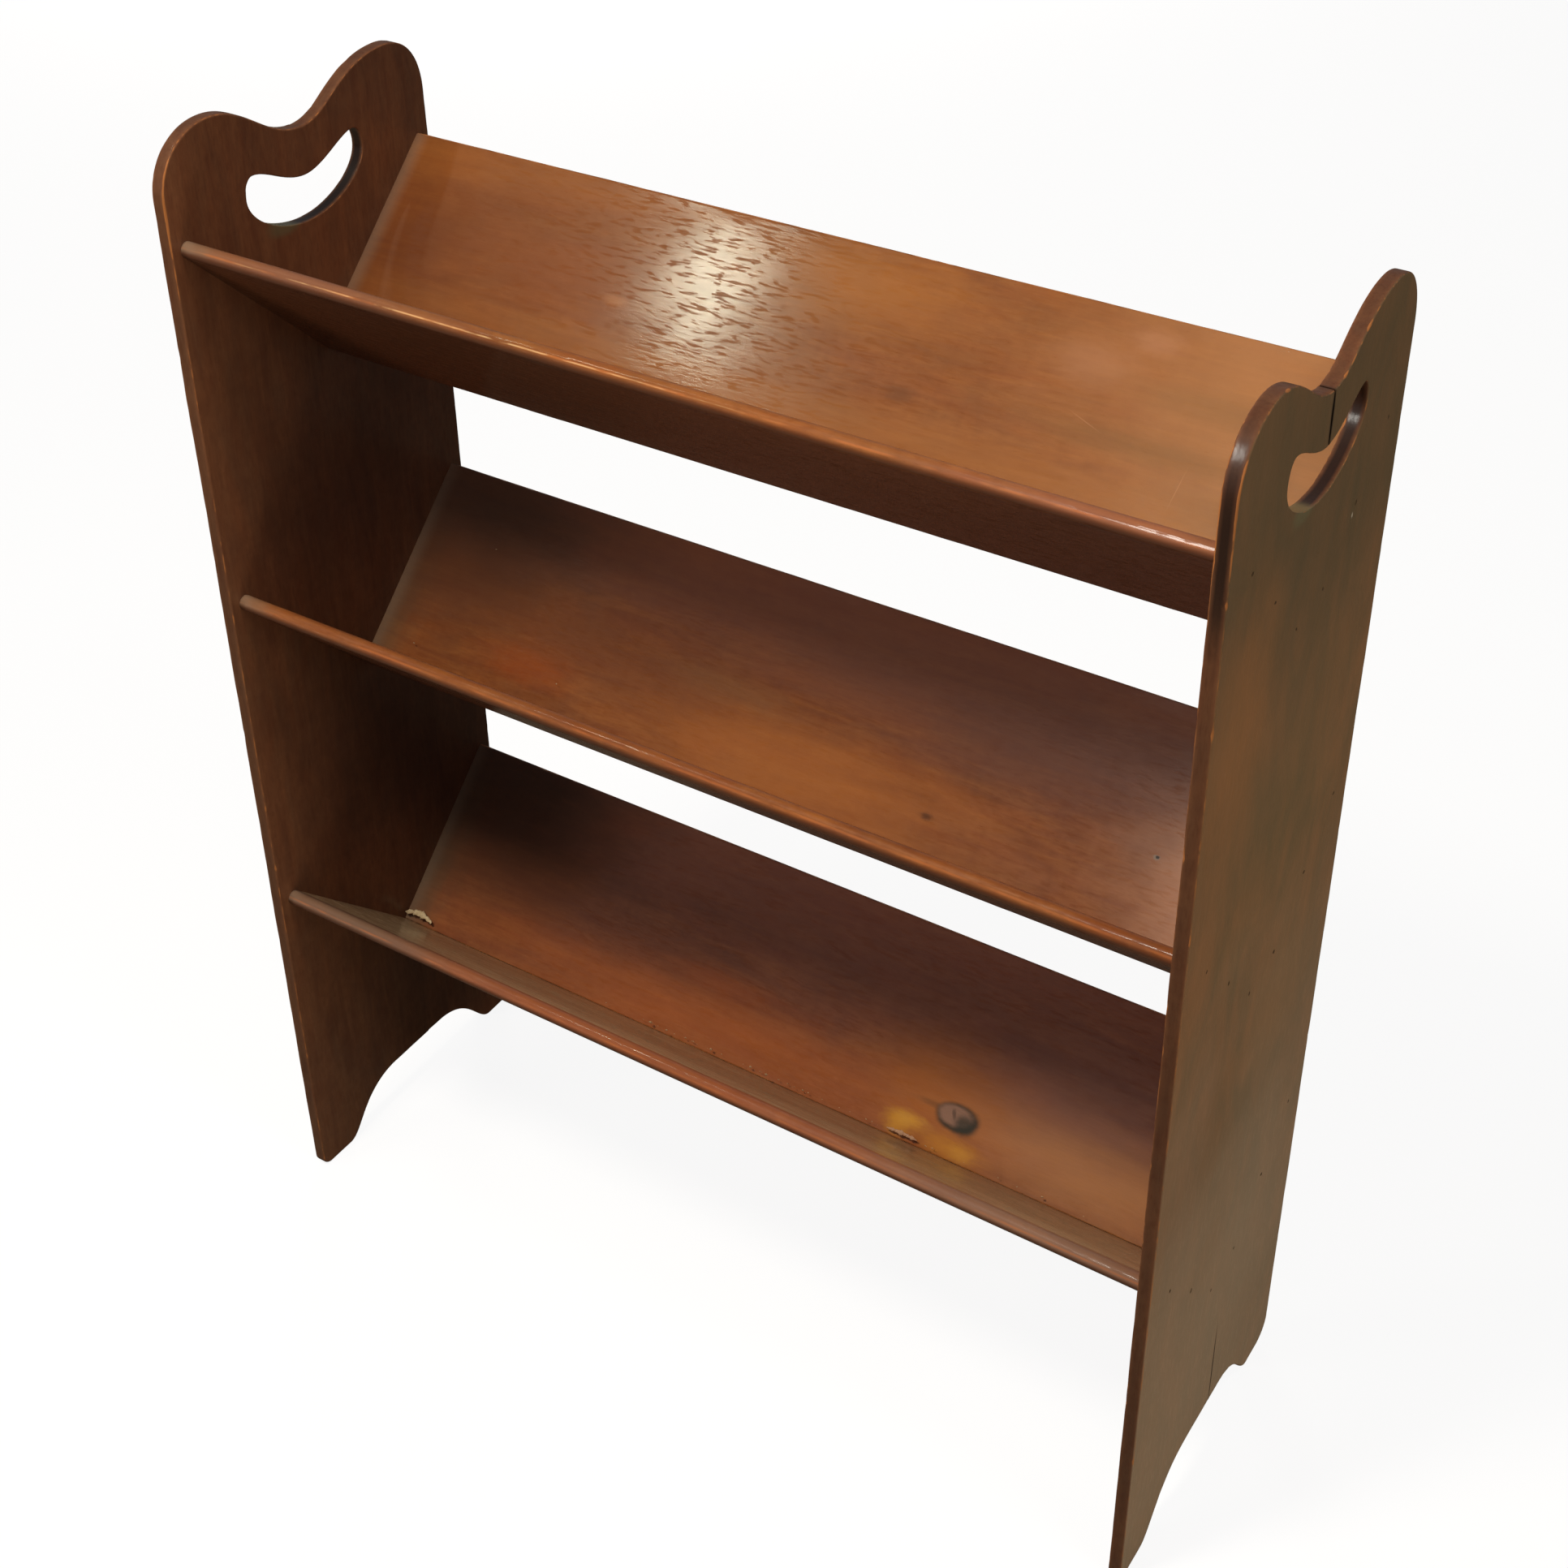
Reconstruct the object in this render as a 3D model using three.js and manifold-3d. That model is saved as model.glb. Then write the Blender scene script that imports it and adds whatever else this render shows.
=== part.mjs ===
// A three-tier book trough: two shaped end panels, each glued up from two boards, carry three V-shaped
// troughs. Every trough is a front board with a rounded nose and a square-edged back board.
// Millimetres. X runs along the troughs, Y from front to back, Z up. The origin is the centre of the base.
import * as THREE from "three";
import { mergeVertices } from "three/addons/utils/BufferGeometryUtils.js";
import Module from "manifold-3d";

// Overall sizes
const TROUGH_LENGTH = 740; // between the two end panels
const PANEL_THICKNESS = 10.5;
const PANEL_DEPTH = 262; // front edge to back edge
const PANEL_ARRIS = 1.2; // small chamfer on the panels' edges

// Tiers, measured at the centre of each trough's rounded nose
const BOTTOM_NOSE_HEIGHT = 291.5;
const TIER_SPACING = 279;
const TIER_NAMES = ["bottom", "middle", "top"];

// The V of a trough, seen from the end
const BOARD_THICKNESS = 11.3;
const BOARD_ARRIS = 1.2; // small chamfer along the back board's top edge
const NOSE_SETBACK = 7.8; // panel's front edge to the tip of the nose
const BACK_SETBACK = 3; // back board's top corner to the panel's back edge
const BACK_RISE = 3; // back board's inner top corner over the centre of the nose
const FRONT_SLOPE_DEGREES = 44.5;
const BACK_SLOPE_DEGREES = 43.5;

// The wavy top of an end panel, measured over the centre of the top trough's nose
const FRONT_LOBE_RISE = 80.5;
const BACK_LOBE_RISE = 76.5;
const VALLEY_RISE = 46;
const LOBE_CORNER_DROP = 46; // how far below its lobe each upright edge begins to turn over
const FRONT_LOBE_SHARE = 0.18; // of the panel's depth, front edge to the top of the front lobe
const BACK_LOBE_SHARE = 0.847;
const VALLEY_SHARE = 0.511;

// The hand hole, a kidney that follows the valley above it
const HOLE_WIDTH = 118;
const HOLE_STRIP = 35.2; // wood left between the valley and the hole
const HOLE_HEIGHT = 33.3; // at the middle
const HOLE_END_RISE = 16.8; // the two ends' tops over the middle of the upper edge
const HOLE_CENTRE_SHARE = 0.504;

// The foot of an end panel
const ARCH_HEIGHT = 42.5;
const FRONT_FOOT = 33; // sole of the front foot, from the front edge
const BACK_FOOT = 37; // sole of the back foot, from the back edge
const OGEE_RUN = 66; // length of the curve from a sole up to the arch
const FRONT_HEEL_RADIUS = 9;
const BACK_HEEL_RADIUS = 18;

// The glued joint of an end panel runs a little out of upright
const JOINT_TOP_SHARE = 0.5;
const JOINT_FOOT_SHARE = 0.548;

// Fixings and fits
const FIT_GAP = 0.3; // between faces that meet
const NAIL_LENGTH = 38;
const NAIL_DIAMETER = 2.2;
const NAIL_HEAD_DIAMETER = 3.4;
const NAIL_HEAD_HEIGHT = 1.6;
const NAIL_POINT = 3.5; // length of the taper at the tip
const NAIL_SINK = 0.4; // head below the face of the wood
const END_NAIL_SHARES = [0.16, 0.5, 0.84]; // along a board's width
const SEAM_NAIL_SHARES = [0.08, 0.36, 0.64, 0.92]; // along the trough
const OVERRUN = 5; // how far a cutting body passes a face

// Facets
const CURVE_STEPS = 10;
const NAIL_SIDES = 8;

// Shares that set how full each curve is
const CORNER_SHARES = { front: [0.58, 0.58], back: [0.59, 0.63] };
const WAVE_SHARES = { front: [0.39, 0.42], back: [0.55, 0.33] };
const OGEE_SHARES = [0.24, 0.63];
const HEEL_SHARES = [0.55, 0.55];
const HOLE_TOP_SHARES = [0.39, 0.26];
const HOLE_END_SHARES = [0.66, 0.56];
const HOLE_FLOOR_SHARES = [0.5, 0.5];
const HOLE_PEAK_SHARE = 0.86; // of half the hole's width, from its middle to the top of each end
const HOLE_TIP_SHARE = 0.06; // of the hole's height, the widest points over the upper edge's middle

const wasm = await Module();
wasm.setup();

const polish = { roughness: 0.42, metalness: 0 };
const endWood = new THREE.MeshStandardMaterial({ color: 0x6b4a30, ...polish });
const troughWood = new THREE.MeshStandardMaterial({ color: 0x8e4b1e, ...polish });
const nailSteel = new THREE.MeshStandardMaterial({ color: 0x3a3431, roughness: 0.6, metalness: 0.8 });

const radians = THREE.MathUtils.degToRad;
const frontFace = -PANEL_DEPTH / 2;
const topNoseHeight = BOTTOM_NOSE_HEIGHT + TIER_SPACING * (TIER_NAMES.length - 1);

// A closed geometry as a solid that can be cut and joined.
function solidOf(geometry) {
  const bare = geometry.index ? geometry.toNonIndexed() : geometry.clone();
  bare.deleteAttribute("normal");
  bare.deleteAttribute("uv");
  const merged = mergeVertices(bare);
  const vertProperties = merged.attributes.position.array;
  const triVerts = new Uint32Array(merged.index.array);
  return new wasm.Manifold(new wasm.Mesh({ numProp: 3, vertProperties, triVerts }));
}

// A solid as a flat-shaded geometry.
function geometryOf(solid) {
  const mesh = solid.getMesh();
  const indexed = new THREE.BufferGeometry();
  indexed.setAttribute("position", new THREE.BufferAttribute(mesh.vertProperties, 3));
  indexed.setIndex(new THREE.BufferAttribute(mesh.triVerts, 1));
  const flat = indexed.toNonIndexed();
  flat.computeVertexNormals();
  return flat;
}

// A profile drawn with Y across and Z up, drawn out along X from `from` to `to`.
function alongX(shape, from, to, arris = 0) {
  const geometry = new THREE.ExtrudeGeometry(shape, {
    depth: to - from - 2 * arris,
    bevelEnabled: arris > 0,
    bevelThickness: arris,
    bevelSize: arris,
    bevelOffset: -arris,
    bevelSegments: 1,
    curveSegments: CURVE_STEPS,
  });
  geometry.translate(0, 0, from + arris);
  const turn = new THREE.Matrix4().makeBasis(
    new THREE.Vector3(0, 1, 0),
    new THREE.Vector3(0, 0, 1),
    new THREE.Vector3(1, 0, 0),
  );
  return geometry.applyMatrix4(turn);
}

const mix = (a, b, share) => a + (b - a) * share;
const reversed = (shares) => [...shares].reverse();
const offset = (point, direction, distance) => point.clone().addScaledVector(direction, distance);

// Where the line through a along u meets the line through b along v.
function meet(a, u, b, v) {
  return offset(a, u, b.clone().sub(a).cross(v) / u.cross(v));
}

// An S-shaped curve that is level at both ends.
function wave(path, from, to, [leaveShare, arriveShare]) {
  const leave = mix(from.x, to.x, leaveShare);
  const arrive = mix(to.x, from.x, arriveShare);
  path.bezierCurveTo(leave, from.y, arrive, to.y, to.x, to.y);
}

// A quarter turn that leaves upright and arrives level, or the other way round.
function corner(path, from, to, leavesUpright, [leaveShare, arriveShare]) {
  if (leavesUpright) {
    const rise = mix(from.y, to.y, leaveShare);
    path.bezierCurveTo(from.x, rise, mix(to.x, from.x, arriveShare), to.y, to.x, to.y);
  } else {
    const run = mix(from.x, to.x, leaveShare);
    path.bezierCurveTo(run, from.y, to.x, mix(to.y, from.y, arriveShare), to.x, to.y);
  }
}

// The outline of an end panel: feet, arch, upright edges and wavy top, with its hand hole.
function panelOutline() {
  const back = frontFace + PANEL_DEPTH;
  const at = (share) => frontFace + PANEL_DEPTH * share;
  const frontLobe = new THREE.Vector2(at(FRONT_LOBE_SHARE), topNoseHeight + FRONT_LOBE_RISE);
  const backLobe = new THREE.Vector2(at(BACK_LOBE_SHARE), topNoseHeight + BACK_LOBE_RISE);
  const valley = new THREE.Vector2(at(VALLEY_SHARE), topNoseHeight + VALLEY_RISE);
  const frontSole = new THREE.Vector2(frontFace + FRONT_FOOT, 0);
  const backSole = new THREE.Vector2(back - BACK_FOOT, 0);
  const archFront = new THREE.Vector2(frontSole.x + OGEE_RUN, ARCH_HEIGHT);
  const archBack = new THREE.Vector2(backSole.x - OGEE_RUN, ARCH_HEIGHT);

  const outline = new THREE.Shape();
  outline.moveTo(frontFace + FRONT_HEEL_RADIUS, 0);
  outline.lineTo(frontSole.x, frontSole.y);
  wave(outline, frontSole, archFront, OGEE_SHARES);
  outline.lineTo(archBack.x, archBack.y);
  wave(outline, archBack, backSole, reversed(OGEE_SHARES));
  const backHeel = new THREE.Vector2(back - BACK_HEEL_RADIUS, 0);
  outline.lineTo(backHeel.x, backHeel.y);
  corner(outline, backHeel, new THREE.Vector2(back, BACK_HEEL_RADIUS), false, HEEL_SHARES);
  const backTurn = new THREE.Vector2(back, backLobe.y - LOBE_CORNER_DROP);
  outline.lineTo(backTurn.x, backTurn.y);
  corner(outline, backTurn, backLobe, true, CORNER_SHARES.back);
  wave(outline, backLobe, valley, WAVE_SHARES.back);
  wave(outline, valley, frontLobe, WAVE_SHARES.front);
  const frontTurn = new THREE.Vector2(frontFace, frontLobe.y - LOBE_CORNER_DROP);
  corner(outline, frontLobe, frontTurn, false, CORNER_SHARES.front);
  const frontHeel = new THREE.Vector2(frontFace, FRONT_HEEL_RADIUS);
  outline.lineTo(frontHeel.x, frontHeel.y);
  corner(outline, frontHeel, new THREE.Vector2(frontFace + FRONT_HEEL_RADIUS, 0), true, HEEL_SHARES);
  outline.holes.push(handHole(at(HOLE_CENTRE_SHARE), valley.y - HOLE_STRIP));
  return outline;
}

// The kidney-shaped hand hole about its middle, whose upper edge dips to `dip`.
function handHole(middle, dip) {
  const half = HOLE_WIDTH / 2;
  const top = new THREE.Vector2(middle, dip);
  const floor = new THREE.Vector2(middle, dip - HOLE_HEIGHT);
  const peakHeight = dip + HOLE_END_RISE;
  const tipHeight = dip + HOLE_HEIGHT * HOLE_TIP_SHARE;
  const frontPeak = new THREE.Vector2(middle - half * HOLE_PEAK_SHARE, peakHeight);
  const backPeak = new THREE.Vector2(middle + half * HOLE_PEAK_SHARE, peakHeight);
  const frontTip = new THREE.Vector2(middle - half, tipHeight);
  const backTip = new THREE.Vector2(middle + half, tipHeight);
  const hole = new THREE.Path();
  hole.moveTo(top.x, top.y);
  wave(hole, top, frontPeak, HOLE_TOP_SHARES);
  corner(hole, frontPeak, frontTip, false, HOLE_END_SHARES);
  corner(hole, frontTip, floor, true, HOLE_FLOOR_SHARES);
  corner(hole, floor, backTip, false, HOLE_FLOOR_SHARES);
  corner(hole, backTip, backPeak, true, reversed(HOLE_END_SHARES));
  wave(hole, backPeak, top, reversed(HOLE_TOP_SHARES));
  return hole;
}

// The section of a trough about the centre of its nose: the directions of its boards and the corners where
// their faces meet.
function troughSection() {
  const frontSlope = radians(FRONT_SLOPE_DEGREES);
  const backSlope = radians(BACK_SLOPE_DEGREES);
  const down = new THREE.Vector2(Math.cos(frontSlope), -Math.sin(frontSlope)); // nose to seam
  const frontUp = new THREE.Vector2(Math.sin(frontSlope), Math.cos(frontSlope)); // out of its inner face
  const up = new THREE.Vector2(Math.cos(backSlope), Math.sin(backSlope)); // seam to top edge
  const backUp = new THREE.Vector2(-Math.sin(backSlope), Math.cos(backSlope));
  const nose = new THREE.Vector2(frontFace + NOSE_SETBACK + BOARD_THICKNESS / 2, 0);
  const backEdge = frontFace + PANEL_DEPTH - BACK_SETBACK;
  const backTop = new THREE.Vector2(backEdge - BOARD_THICKNESS * Math.sin(backSlope), BACK_RISE);
  const frontInner = offset(nose, frontUp, BOARD_THICKNESS / 2);
  const frontOuter = offset(nose, frontUp, -BOARD_THICKNESS / 2);
  const backOuter = offset(backTop, backUp, -BOARD_THICKNESS); // its outer top corner
  const crease = meet(frontInner, down, backTop, up);
  const frontShelf = meet(frontInner, down, backOuter, up); // back board's outer face, on the front board
  const keel = meet(frontOuter, down, backOuter, up); // lowest corner of the V
  return { down, frontUp, up, backUp, nose, backTop, frontInner, frontOuter, backOuter, crease,
    frontShelf, keel };
}

// The front board's section, from the nose's round edge to its lower edge at the keel.
function frontBoardOutline({ nose, frontUp, frontShelf, keel }) {
  const start = frontUp.angle();
  const outline = new THREE.Shape();
  outline.absarc(nose.x, nose.y, BOARD_THICKNESS / 2, start, start + Math.PI);
  outline.lineTo(keel.x, keel.y);
  outline.lineTo(frontShelf.x, frontShelf.y);
  return outline;
}

// The back board's section, from its lower edge on the front board to its top edge.
function backBoardOutline({ down, frontUp, up, backUp, frontInner, backTop, backOuter }) {
  const seat = offset(frontInner, frontUp, FIT_GAP);
  const innerFoot = meet(seat, down, backTop, up);
  const outerFoot = meet(seat, down, backOuter, up);
  return new THREE.Shape([
    innerFoot,
    outerFoot,
    offset(backOuter, up, -BOARD_ARRIS),
    offset(backOuter, backUp, BOARD_ARRIS),
    offset(backTop, backUp, -BOARD_ARRIS),
    offset(backTop, up, -BOARD_ARRIS),
  ]);
}

// The places where nails enter the two boards of a trough from the end panels, about the nose's centre.
function endNailPlaces({ nose, crease, backTop, backUp, keel, frontShelf }) {
  const frontEnd = keel.clone().lerp(frontShelf, 1 / 2);
  const backStart = offset(crease, backUp, -BOARD_THICKNESS / 2);
  const backEnd = offset(backTop, backUp, -BOARD_THICKNESS / 2);
  const places = [];
  END_NAIL_SHARES.forEach((share, i) => {
    places.push({ board: "front", count: i + 1, at: nose.clone().lerp(frontEnd, share) });
    places.push({ board: "back", count: i + 1, at: backStart.clone().lerp(backEnd, share) });
  });
  return places;
}

// A nail along its own axis, its head's top at nought and its point down. With a clearance it is the hole
// for that nail, carried on past the head by `over`.
function nailGeometry(clearance = 0, over = 0) {
  const shank = NAIL_DIAMETER / 2 + clearance;
  const head = NAIL_HEAD_DIAMETER / 2 + clearance;
  const tip = -NAIL_LENGTH - clearance;
  const mouth = over > 0 ? [[head, over]] : [];
  const profile = [
    [0, tip],
    [shank, tip + NAIL_POINT],
    [shank, -NAIL_HEAD_HEIGHT],
    [head, 0],
    ...mouth,
    [0, over],
  ];
  const points = profile.map(([radius, height]) => new THREE.Vector2(radius, height));
  return new THREE.LatheGeometry(points, NAIL_SIDES);
}

// Lays a nail or its hole with the head just below the face at `point`, driven along `direction`.
function drive(geometry, point, direction) {
  const turn = new THREE.Quaternion().setFromUnitVectors(new THREE.Vector3(0, -1, 0), direction);
  const place = offset(point, direction, NAIL_SINK);
  return geometry.applyMatrix4(new THREE.Matrix4().makeRotationFromQuaternion(turn).setPosition(place));
}

function nailHole(point, direction) {
  return solidOf(drive(nailGeometry(FIT_GAP, NAIL_SINK + OVERRUN), point, direction));
}

function boreAll(solid, holes) {
  return holes.reduce((left, hole) => left.subtract(hole), solid);
}

function mesh(name, geometry, material) {
  const made = new THREE.Mesh(geometry, material);
  made.name = name;
  return made;
}

const section = troughSection();
const nailPlaces = endNailPlaces(section);
const inward = new THREE.Vector3(-1, 0, 0);
const tierHeights = TIER_NAMES.map((name, i) => BOTTOM_NOSE_HEIGHT + TIER_SPACING * i);

// The half space before or behind the slanting glue line of an end panel, as a thick slab.
function jointSide(isFront) {
  const top = new THREE.Vector2(frontFace + PANEL_DEPTH * JOINT_TOP_SHARE, topNoseHeight + VALLEY_RISE);
  const foot = new THREE.Vector2(frontFace + PANEL_DEPTH * JOINT_FOOT_SHARE, ARCH_HEIGHT);
  const along = top.clone().sub(foot).normalize();
  const away = new THREE.Vector2(along.y, -along.x).multiplyScalar(isFront ? -1 : 1);
  const reach = PANEL_DEPTH + topNoseHeight;
  const low = offset(offset(foot, along, -reach), away, FIT_GAP / 2);
  const high = offset(offset(top, along, reach), away, FIT_GAP / 2);
  const corners = [low, offset(low, away, reach), offset(high, away, reach), high];
  const slab = new THREE.Shape(isFront ? corners.reverse() : corners);
  return solidOf(alongX(slab, -OVERRUN, PANEL_THICKNESS + OVERRUN));
}

// The two boards of an end panel and its nails, standing with the inner face at X = 0.
function endPanel(side) {
  const group = new THREE.Group();
  const holes = [];
  tierHeights.forEach((height, i) => {
    nailPlaces.forEach(({ board, count, at }) => {
      const face = new THREE.Vector3(PANEL_THICKNESS, at.x, height + at.y);
      holes.push(nailHole(face, inward));
      const name = `${side}_${TIER_NAMES[i]}_${board}_nail_${count}`;
      group.add(mesh(name, drive(nailGeometry(), face, inward), nailSteel));
    });
  });
  const panel = boreAll(solidOf(alongX(panelOutline(), 0, PANEL_THICKNESS, PANEL_ARRIS)), holes);
  const front = panel.intersect(jointSide(true));
  const back = panel.intersect(jointSide(false));
  group.add(mesh(`${side}_end_front_board`, geometryOf(front), endWood));
  group.add(mesh(`${side}_end_back_board`, geometryOf(back), endWood));
  return group;
}

// The two boards of a trough and the nails along its seam, about the centre of its nose.
function trough(name) {
  const group = new THREE.Group();
  const endX = TROUGH_LENGTH / 2 - FIT_GAP;
  const nailsFor = (board) => nailPlaces.filter((place) => place.board === board);
  const endHoles = (board) => nailsFor(board).flatMap(({ at }) => [-1, 1].map((side) => {
    const face = new THREE.Vector3(side * (TROUGH_LENGTH / 2 + PANEL_THICKNESS), at.x, at.y);
    return nailHole(face, new THREE.Vector3(-side, 0, 0));
  }));
  const { frontUp, crease, frontShelf } = section;
  const seam = offset(crease.clone().lerp(frontShelf, 1 / 2), frontUp, -BOARD_THICKNESS);
  const driveUp = new THREE.Vector3(0, frontUp.x, frontUp.y);
  const seamPoints = SEAM_NAIL_SHARES.map((share) =>
    new THREE.Vector3(mix(-TROUGH_LENGTH / 2, TROUGH_LENGTH / 2, share), seam.x, seam.y));
  const seamHoles = seamPoints.map((point) => nailHole(point, driveUp));
  const front = solidOf(alongX(frontBoardOutline(section), -endX, endX));
  const back = solidOf(alongX(backBoardOutline(section), -endX, endX));
  const frontBoard = boreAll(front, [...endHoles("front"), ...seamHoles]);
  const backBoard = boreAll(back, [...endHoles("back"), ...seamHoles]);
  group.add(mesh(`${name}_trough_front_board`, geometryOf(frontBoard), troughWood));
  group.add(mesh(`${name}_trough_back_board`, geometryOf(backBoard), troughWood));
  seamPoints.forEach((point, i) => {
    group.add(mesh(`${name}_seam_nail_${i + 1}`, drive(nailGeometry(), point, driveUp), nailSteel));
  });
  return group;
}

const bookTrough = new THREE.Group();
TIER_NAMES.forEach((name, i) => {
  const tier = trough(name);
  tier.position.z = tierHeights[i];
  bookTrough.add(tier);
});
[["right", 1], ["left", -1]].forEach(([side, sign]) => {
  const end = endPanel(side);
  end.scale.x = sign; // the left end is the right one in a mirror
  end.position.x = (sign * TROUGH_LENGTH) / 2;
  bookTrough.add(end);
});

export default bookTrough;
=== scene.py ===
"""A three-tier book trough: two shaped ends of stained board carry three V-shaped troughs.

Metres throughout, but mm where a comment says so. X runs along the troughs, Y from front to back, Z up, as
in the frame."""

from types import SimpleNamespace

import bpy
import numpy as np
from mathutils import Matrix, Vector


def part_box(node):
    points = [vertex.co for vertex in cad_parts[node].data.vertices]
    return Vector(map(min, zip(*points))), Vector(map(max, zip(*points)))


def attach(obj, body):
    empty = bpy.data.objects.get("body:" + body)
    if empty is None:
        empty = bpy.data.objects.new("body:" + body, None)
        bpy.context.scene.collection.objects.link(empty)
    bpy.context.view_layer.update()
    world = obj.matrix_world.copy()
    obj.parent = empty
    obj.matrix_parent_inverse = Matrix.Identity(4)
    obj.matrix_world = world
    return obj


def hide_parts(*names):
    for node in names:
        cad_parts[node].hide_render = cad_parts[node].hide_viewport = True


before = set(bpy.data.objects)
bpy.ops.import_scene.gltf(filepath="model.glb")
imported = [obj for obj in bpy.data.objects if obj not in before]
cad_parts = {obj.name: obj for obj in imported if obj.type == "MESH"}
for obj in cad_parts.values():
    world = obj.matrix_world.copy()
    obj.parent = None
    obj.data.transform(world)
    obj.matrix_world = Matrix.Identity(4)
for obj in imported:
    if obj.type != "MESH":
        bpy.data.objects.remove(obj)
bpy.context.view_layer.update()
MM = 0.001

# The two ends. Each is two hardwood boards 10.5 mm thick with upright grain, glued edge to edge and then sawn
# to shape: two lobes over a valley, a kidney-shaped hand hole, and an arch between the feet. They are stained
# to a mahogany brown and polished. The right end's joint has opened between the valley and the hand hole.
front_low, front_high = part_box("right_end_front_board")
_, back_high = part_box("right_end_back_board")
INNER_X, FACE_X = front_low.x, front_high.x - 0.06 * MM
FRONT_Y, BACK_Y = front_low.y, back_high.y
END_DEPTH = BACK_Y - FRONT_Y
FRONT_LOBE = np.array([FRONT_Y + END_DEPTH * 0.18, front_high.z])
BACK_LOBE = np.array([FRONT_Y + END_DEPTH * 0.847, back_high.z])
VALLEY = np.array([FRONT_Y + END_DEPTH * 0.511, front_high.z - 34.5 * MM])
LOBE_CORNER_DROP = 46 * MM
HOLE_MIDDLE = FRONT_Y + END_DEPTH * 0.504
HOLE_WIDTH, HOLE_HEIGHT, HOLE_STRIP, HOLE_END_RISE = 118 * MM, 33.3 * MM, 35.2 * MM, 16.8 * MM
ARCH_HEIGHT, FRONT_FOOT, BACK_FOOT, OGEE_RUN = 42.5 * MM, 33 * MM, 37 * MM, 66 * MM
FRONT_HEEL, BACK_HEEL = 9 * MM, 18 * MM
EDGE_ARRIS, HOLE_ARRIS = 1.3 * MM, 0.9 * MM
JOINT_TOP_SHARE, JOINT_FOOT_SHARE = 0.5, 0.548
CRACK_WIDTH, FOOT_CRACK_WIDTH, FOOT_CRACK_HEIGHT = 2.7 * MM, 0.5 * MM, 130 * MM
EDGE_BRUISES, BRUISE_WIDTHS, BRUISE_DEPTH = 34, (1.2 * MM, 4 * MM), 0.8 * MM
FACE_MARGIN = 0.7 * MM  # a loop this far inside the arris keeps the face flat up to it
CROSSING_GAP = 1.5 * MM  # outline points closer than this to the joint are dropped
SAWN_HALF, SAWN_BLUR = 5 * MM, 2 * MM  # how far the sawn look goes from mid-thickness, and over what it fades
# Two places on the front lobe, by the height of their middle, half height and reach back from the front: the
# shoulder, whose arris hands have worn most, and a stretch of the edge painted almost black, a painted dark
# reflection of the room in its polish.
SHOULDER, SHOULDER_HALF, SHOULDER_REACH = 875 * MM, 32 * MM, 12 * MM
DARK_REFLECTION, DARK_REFLECTION_HALF, DARK_REFLECTION_REACH = 860 * MM, 60 * MM, 40 * MM


def cubic(a, b, c, d, steps=26):
    """Cubic curve from a to d: (1-t)^3 a + 3(1-t)^2 t b + 3(1-t) t^2 c + t^3 d, its last point left out."""
    t = np.linspace(0, 1, steps, endpoint=False)[:, None]
    return (1 - t) ** 3 * a + 3 * (1 - t) ** 2 * t * b + 3 * (1 - t) * t ** 2 * c + t ** 3 * d


def straight(a, b, pitch=4 * MM):
    """Evenly spaced points on the line from a to b, its last point left out."""
    steps = max(1, int(np.ceil(np.linalg.norm(b - a) / pitch)))
    return a + np.linspace(0, 1, steps, endpoint=False)[:, None] * (b - a)


def wave(a, b, leave, arrive):
    """S-curve, level at both ends: a cubic whose handles are level and these shares of the run long."""
    run = np.array([b[0] - a[0], 0])
    return cubic(a, a + run * leave, b - run * arrive, b)


def quarter(a, b, leave, arrive, upright_first):
    """Quarter turn: a cubic with one level and one upright handle, these shares of the run or rise long."""
    run, rise = np.array([b[0] - a[0], 0]), np.array([0, b[1] - a[1]])
    first, last = (rise, run) if upright_first else (run, rise)
    return cubic(a, a + first * leave, b - last * arrive, b)


def end_outline():
    """The outer edge of an end, anticlockwise from the front heel: lines, S-curves and quarter turns."""
    heel, back_heel = np.array([FRONT_Y + FRONT_HEEL, 0]), np.array([BACK_Y - BACK_HEEL, 0])
    sole, back_sole = np.array([FRONT_Y + FRONT_FOOT, 0]), np.array([BACK_Y - BACK_FOOT, 0])
    arch = np.array([sole[0] + OGEE_RUN, ARCH_HEIGHT])
    back_arch = np.array([back_sole[0] - OGEE_RUN, ARCH_HEIGHT])
    front_foot, back_foot = np.array([FRONT_Y, FRONT_HEEL]), np.array([BACK_Y, BACK_HEEL])
    front_turn = np.array([FRONT_Y, FRONT_LOBE[1] - LOBE_CORNER_DROP])
    back_turn = np.array([BACK_Y, BACK_LOBE[1] - LOBE_CORNER_DROP])
    return np.vstack([
        straight(heel, sole), wave(sole, arch, 0.24, 0.63), straight(arch, back_arch),
        wave(back_arch, back_sole, 0.63, 0.24), straight(back_sole, back_heel),
        quarter(back_heel, back_foot, 0.55, 0.55, False), straight(back_foot, back_turn),
        quarter(back_turn, BACK_LOBE, 0.59, 0.63, True), wave(BACK_LOBE, VALLEY, 0.55, 0.33),
        wave(VALLEY, FRONT_LOBE, 0.39, 0.42), quarter(FRONT_LOBE, front_turn, 0.58, 0.58, False),
        straight(front_turn, front_foot), quarter(front_foot, heel, 0.55, 0.55, True),
    ])


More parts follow.
